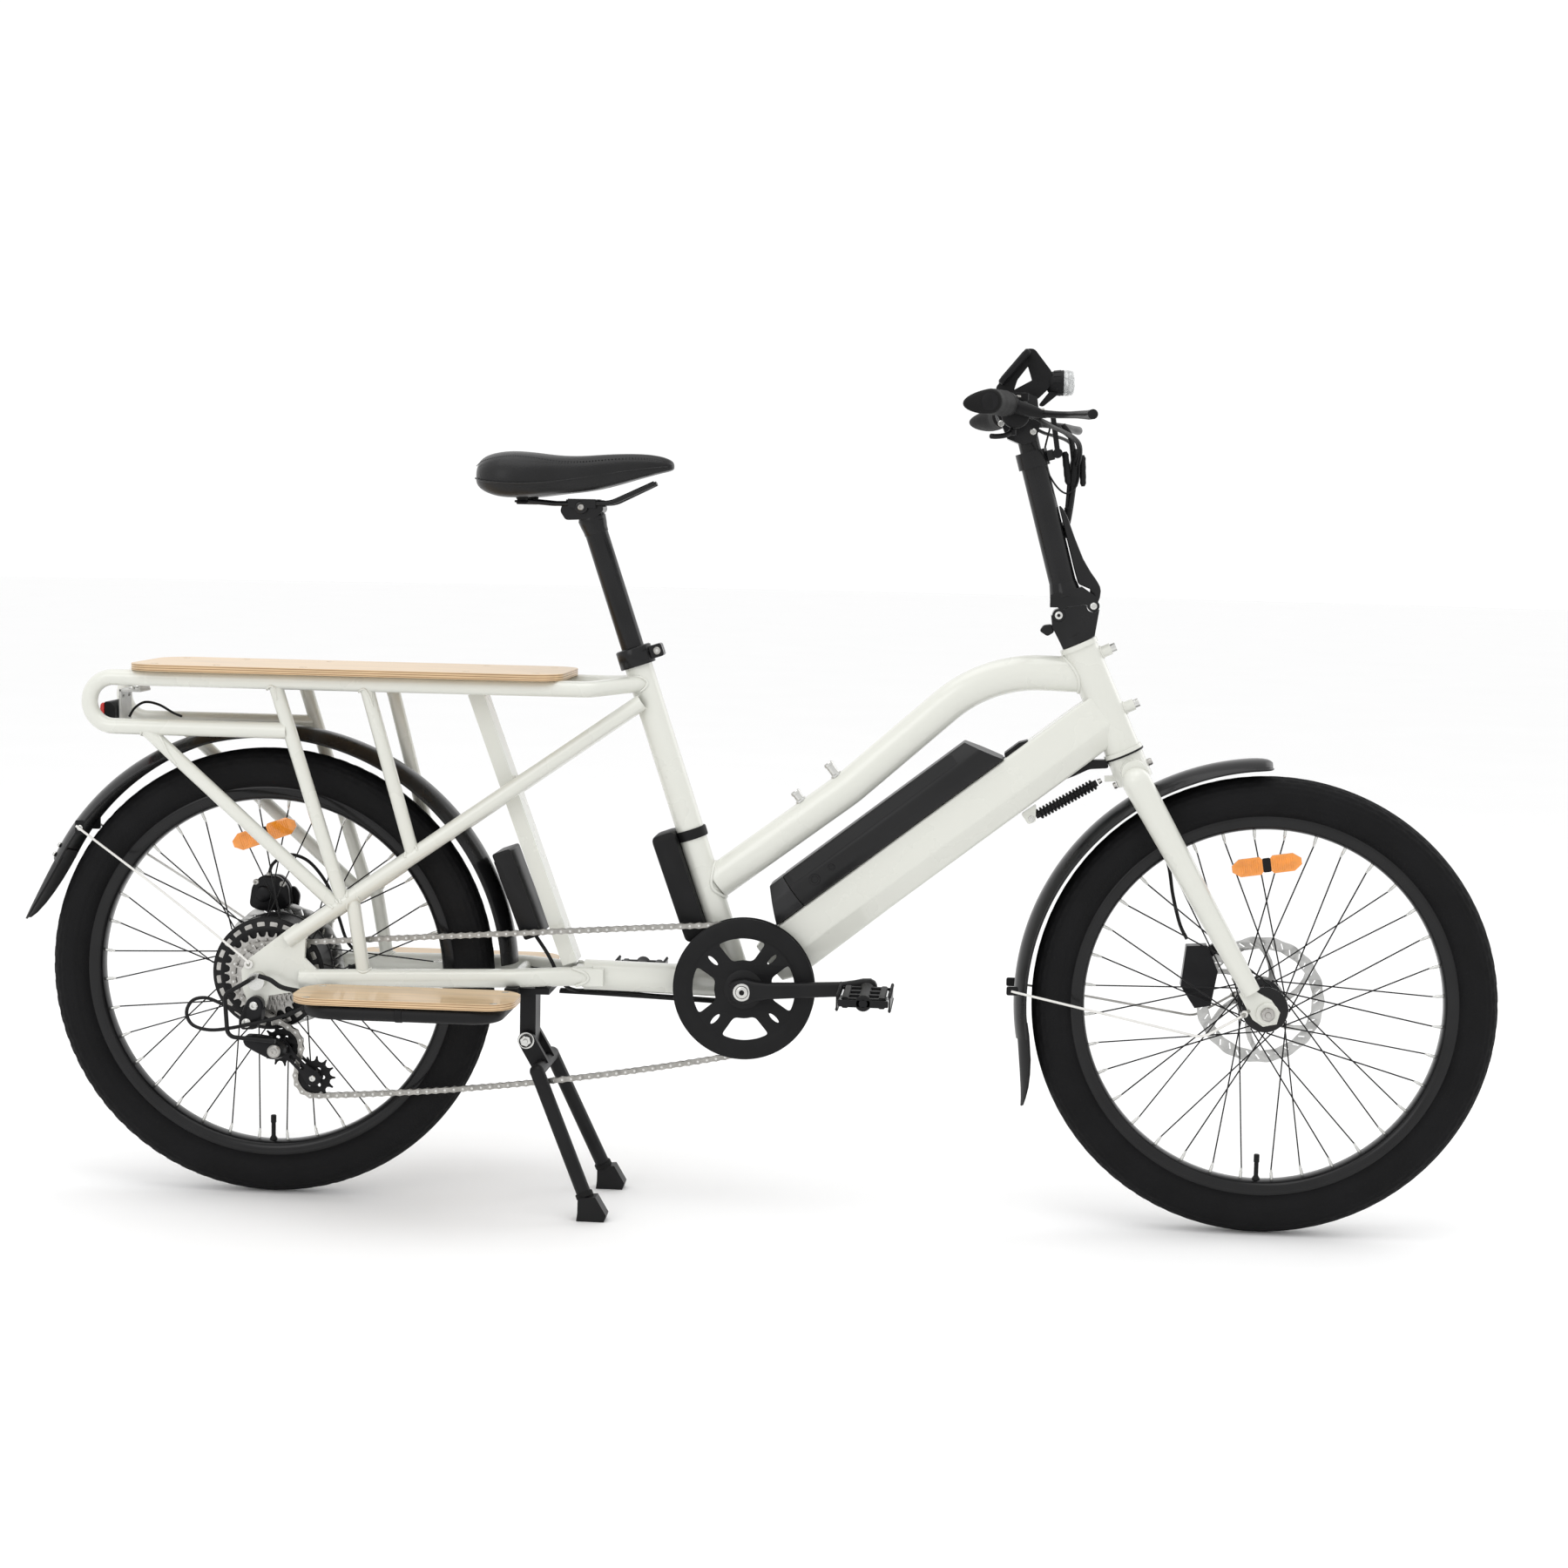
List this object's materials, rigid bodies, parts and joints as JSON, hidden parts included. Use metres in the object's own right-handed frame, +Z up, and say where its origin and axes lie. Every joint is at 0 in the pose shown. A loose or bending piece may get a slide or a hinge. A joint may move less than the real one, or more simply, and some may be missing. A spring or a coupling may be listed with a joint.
{
  "type": "electric cargo bicycle",
  "caption": "Long-tail cargo bicycle with a plywood deck over the rear wheel, footboards, hub motor, frame battery, folding handlebar post and two-legged stand.",
  "frame": {"origin": "on the ground, under the middle of the bicycle", "axes": "+X forward, +Y to the rider's left, +Z up"},
  "size_m": [2.0406, 0.6684, 1.1913],
  "materials": {
    "ivory_paint": "gloss ivory paint over aluminium tube",
    "black_paint": "gloss black paint over aluminium",
    "black_metal": "satin black anodised",
    "bright_metal": "machined",
    "steel": "zinc plated",
    "chain_steel": "nickel plated",
    "plywood": "clear varnished birch plywood",
    "tyre_rubber": "moulded tread",
    "grip_rubber": "textured",
    "cable_black": "cable housing",
    "black_plastic": "fine grain",
    "gloss_plastic": "gloss",
    "fender_plastic": "satin polycarbonate",
    "battery_case": "satin black case",
    "leather": "black",
    "amber_lens": "amber reflector",
    "clear_lens": "clear lamp lens",
    "red_lens": "red lens and black housing",
    "spring_steel": "coil spring"
  },
  "bodies": {
    "frame": {"head_tube": "ivory_paint", "down_tube": "ivory_paint", "top_tube": "ivory_paint", "seat_tube": "ivory_paint", "main_tube": "ivory_paint", "rear_stays": "ivory_paint", "rack": "ivory_paint", "deck_board": "plywood", "footboards": "plywood", "footrest_tubes": "black_paint", "fasteners": "steel", "rear_fender": "fender_plastic", "rear_lines": "cable_black", "tail_light": "red_lens", "electronics_boxes": "black_plastic", "rear_caliper": "black_metal", "chain": "chain_steel", "derailleur_body": "black_metal", "damper_spring": "spring_steel"},
    "fork": {"fork_crown": "ivory_paint", "fork_blades": "ivory_paint", "front_fender": "fender_plastic", "front_axle": "steel", "front_caliper": "black_metal", "stem_base": "black_paint"},
    "front_wheel": {"front_tyre": "tyre_rubber", "front_rim": "black_metal", "front_hub": "black_metal", "front_rotor": "steel", "front_spokes": "black_metal"},
    "rear_wheel": {"rear_tyre": "tyre_rubber", "rear_rim": "black_metal", "rear_hub": "black_metal", "rear_rotor": "steel", "rear_spokes": "black_metal"},
    "crank": {"chainring": "black_metal", "crank_arms": "black_metal"},
    "pedal_r": {"pedal_right": "black_plastic"},
    "pedal_l": {"pedal_left": "black_plastic"},
    "freewheel": {"sprockets": "steel"},
    "derailleur": {"derailleur_knuckle": "black_metal"},
    "cage": {"derailleur_cage": "black_metal"},
    "pulley_upper": {"jockey_upper": "black_plastic"},
    "pulley_lower": {"jockey_lower": "black_plastic"},
    "stand": {"kickstand": "black_metal"},
    "post": {"handlepost": "black_paint"},
    "latch": {"post_latch": "black_paint"},
    "bar": {"riser": "black_metal", "handlebar": "black_metal", "grips": "grip_rubber", "headlight": "gloss_plastic", "front_cables": "cable_black"},
    "height_clamp": {"height_lever": "black_metal"},
    "brake_r": {"brake_lever_right": "black_metal"},
    "brake_l": {"brake_lever_left": "black_metal"},
    "shifter": {"shifter_lever": "black_plastic"},
    "seat": {"seat_post": "black_metal", "saddle": "leather"},
    "seat_clamp": {"seat_clamp_lever": "black_metal"},
    "battery_pack": {"battery": "battery_case"}
  },
  "joints": [
    {"name": "steering", "type": "hinge", "parent": "frame", "child": "fork", "pos_m": [0.50845, 0, 0.6504], "axis": [-0.4124, 0, 0.911], "range_deg": [-60, 60], "stiffness_Nm_per_rad": 1.5, "deforming": ["damper_spring"]},
    {"name": "front_wheel_spin", "type": "hinge", "parent": "fork", "child": "front_wheel", "pos_m": [0.70685, 0, 0.3135], "axis": [0, 1, 0], "continuous": true},
    {"name": "rear_wheel_spin", "type": "hinge", "parent": "frame", "child": "rear_wheel", "pos_m": [-0.66435, 0, 0.3135], "axis": [0, 1, 0], "continuous": true},
    {"name": "crank_spin", "type": "hinge", "parent": "frame", "child": "crank", "pos_m": [0.00215, 0, 0.3198], "axis": [0, 1, 0], "continuous": true},
    {"name": "pedal_right_spin", "type": "hinge", "parent": "crank", "child": "pedal_r", "pos_m": [0.17178, 0, 0.33107], "axis": [0, 1, 0], "continuous": true},
    {"name": "pedal_left_spin", "type": "hinge", "parent": "crank", "child": "pedal_l", "pos_m": [-0.16748, 0, 0.30853], "axis": [0, 1, 0], "continuous": true},
    {"name": "freewheel_spin", "type": "hinge", "parent": "frame", "child": "freewheel", "pos_m": [-0.66435, 0, 0.3135], "axis": [0, 1, 0], "continuous": true},
    {"name": "derailleur_shift", "type": "slide", "parent": "frame", "child": "derailleur", "axis": [0, 1, 0], "range_m": [-0.02, 0.01], "deforming": ["chain"]},
    {"name": "derailleur_tension", "type": "hinge", "parent": "derailleur", "child": "cage", "pos_m": [-0.63925, 0, 0.2168], "axis": [0, 1, 0], "range_deg": [-25, 25], "stiffness_Nm_per_rad": 0.4, "deforming": ["chain"]},
    {"name": "pulley_upper_spin", "type": "hinge", "parent": "cage", "child": "pulley_upper", "pos_m": [-0.63925, 0, 0.2168], "axis": [0, 1, 0], "continuous": true},
    {"name": "pulley_lower_spin", "type": "hinge", "parent": "cage", "child": "pulley_lower", "pos_m": [-0.59415, 0, 0.1737], "axis": [0, 1, 0], "continuous": true},
    {"name": "kickstand_fold", "type": "hinge", "parent": "frame", "child": "stand", "pos_m": [-0.30035, 0, 0.233], "axis": [0, 1, 0], "range_deg": [0, 105]},
    {"name": "stem_fold", "type": "hinge", "parent": "fork", "child": "post", "pos_m": [0.41365, 0, 0.837], "axis": [0, -1, 0], "range_deg": [0, 85], "deforming": ["front_cables"]},
    {"name": "post_latch_swing", "type": "hinge", "parent": "post", "child": "latch", "pos_m": [0.45965, 0, 0.8505], "axis": [0, 1, 0], "range_deg": [0, 100]},
    {"name": "bar_height", "type": "slide", "parent": "post", "child": "bar", "axis": [-0.2652, 0, 0.9642], "range_m": [-0.008, 0.08], "deforming": ["front_cables"]},
    {"name": "height_lever_swing", "type": "hinge", "parent": "post", "child": "height_clamp", "pos_m": [0.40563, 0, 1.05303], "axis": [0, 1, 0], "range_deg": [0, 140]},
    {"name": "brake_right_squeeze", "type": "hinge", "parent": "bar", "child": "brake_r", "pos_m": [0.38037, -0.18, 1.09783], "axis": [0, 0, -1], "range_deg": [0, 18], "stiffness_Nm_per_rad": 1},
    {"name": "brake_left_squeeze", "type": "hinge", "parent": "bar", "child": "brake_l", "pos_m": [0.38037, 0.18, 1.09783], "axis": [0, 0, 1], "range_deg": [0, 18], "stiffness_Nm_per_rad": 1},
    {"name": "shifter_push", "type": "hinge", "parent": "bar", "child": "shifter", "pos_m": [0.34361, -0.158, 1.07872], "axis": [0, 0, 1], "range_deg": [0, 25], "stiffness_Nm_per_rad": 0.2},
    {"name": "seat_height", "type": "slide", "parent": "frame", "child": "seat", "axis": [-0.3192, 0, 0.9477], "range_m": [-0.12, 0.06]},
    {"name": "seat_clamp_swing", "type": "hinge", "parent": "frame", "child": "seat_clamp", "pos_m": [-0.12955, 0.02, 0.77559], "axis": [0.3192, 0, -0.9477], "range_deg": [0, 150]},
    {"name": "battery_slide", "type": "slide", "parent": "frame", "child": "battery_pack", "axis": [0, 1, 0], "range_m": [0, 0.1]}
  ],
  "couplings": [
    {"joint": "freewheel_spin", "follows": "crank_spin", "ratio": 2},
    {"joint": "pulley_lower_spin", "follows": "crank_spin", "ratio": 3.3846},
    {"joint": "pulley_upper_spin", "follows": "crank_spin", "ratio": -3.3846}
  ]
}
